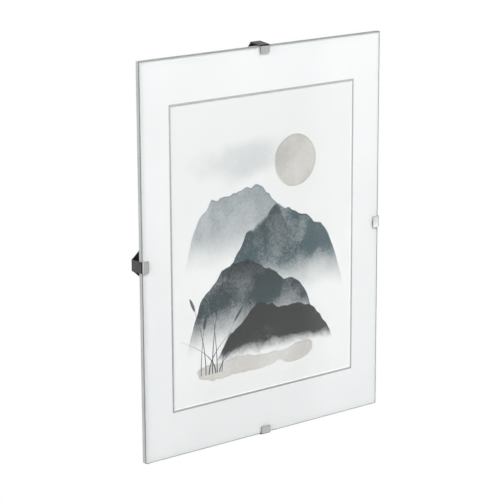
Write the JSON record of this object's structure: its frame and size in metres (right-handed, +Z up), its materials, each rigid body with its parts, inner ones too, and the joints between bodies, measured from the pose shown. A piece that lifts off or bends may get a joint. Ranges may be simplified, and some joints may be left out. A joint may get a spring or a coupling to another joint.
{
  "type": "glass clip frame",
  "caption": "Frameless glass picture frame: glass, passe-partout, print and greyboard back held by spring clips that tip open, with keyholes to hang it on a wall.",
  "frame": {"origin": "centre of the whole frame, clips included", "axes": "+X to the right seen from the front, +Y from the glass to the wall, +Z up"},
  "size_m": [0.3052, 0.017, 0.4052],
  "materials": {
    "glass": "clear, ground edges",
    "mat_card": "matt white card with a grey line round the window",
    "print_paper": "matt art paper with a printed picture",
    "greyboard": "solid grey board, its back faced with dark grey paper",
    "clip_steel": "bright nickel-plated spring steel"
  },
  "bodies": {
    "sheet_pack": {"glass_pane": "glass", "mat_board": "mat_card", "art_print": "print_paper", "backing_board": "greyboard"},
    "top_clip": {"clip_top": "clip_steel"},
    "right_clip": {"clip_right": "clip_steel"},
    "bottom_clip": {"clip_bottom": "clip_steel"},
    "left_clip": {"clip_left": "clip_steel"}
  },
  "joints": [
    {"name": "top_clip_tip", "type": "hinge", "parent": "sheet_pack", "child": "top_clip", "pos_m": [0, -0.00768, 0.1928], "axis": [1, 0, 0], "range_deg": [0, 40]},
    {"name": "right_clip_tip", "type": "hinge", "parent": "sheet_pack", "child": "right_clip", "pos_m": [0.1428, -0.00768, 0], "axis": [0, 0, -1], "range_deg": [0, 40]},
    {"name": "bottom_clip_tip", "type": "hinge", "parent": "sheet_pack", "child": "bottom_clip", "pos_m": [0, -0.00768, -0.1928], "axis": [-1, 0, 0], "range_deg": [0, 40]},
    {"name": "left_clip_tip", "type": "hinge", "parent": "sheet_pack", "child": "left_clip", "pos_m": [-0.1428, -0.00768, 0], "axis": [0, 0, 1], "range_deg": [0, 40]}
  ]
}
